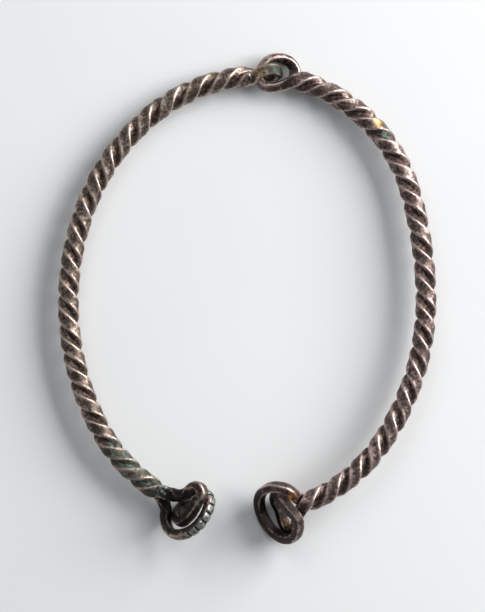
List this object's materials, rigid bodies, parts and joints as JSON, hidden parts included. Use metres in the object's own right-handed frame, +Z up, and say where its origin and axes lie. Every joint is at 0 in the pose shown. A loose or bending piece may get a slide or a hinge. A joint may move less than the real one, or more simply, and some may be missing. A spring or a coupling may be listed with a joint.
{
  "type": "celtic torc",
  "caption": "Open oval neck ring of twisted square bar in two linked halves, with a loop link at the back and a wound double hoop at each end.",
  "frame": {"origin": "centre of the ring's outline, on the table it lies on", "axes": "+Z up out of the table, +Y toward the back link, +X toward the right half as it is seen from above with the opening nearest"},
  "size_m": [0.138, 0.1793, 0.0192],
  "materials": {
    "right_bar": "dark tarnished copper alloy with worn pinkish edges and a few bright gold-coloured spots",
    "left_bar": "dark tarnished copper alloy with green patina in the grooves, golden at the back eye, grey on the notched hoop"
  },
  "bodies": {
    "root": {"right_half": "right_bar", "left_half": "left_bar"}
  },
  "joints": []
}
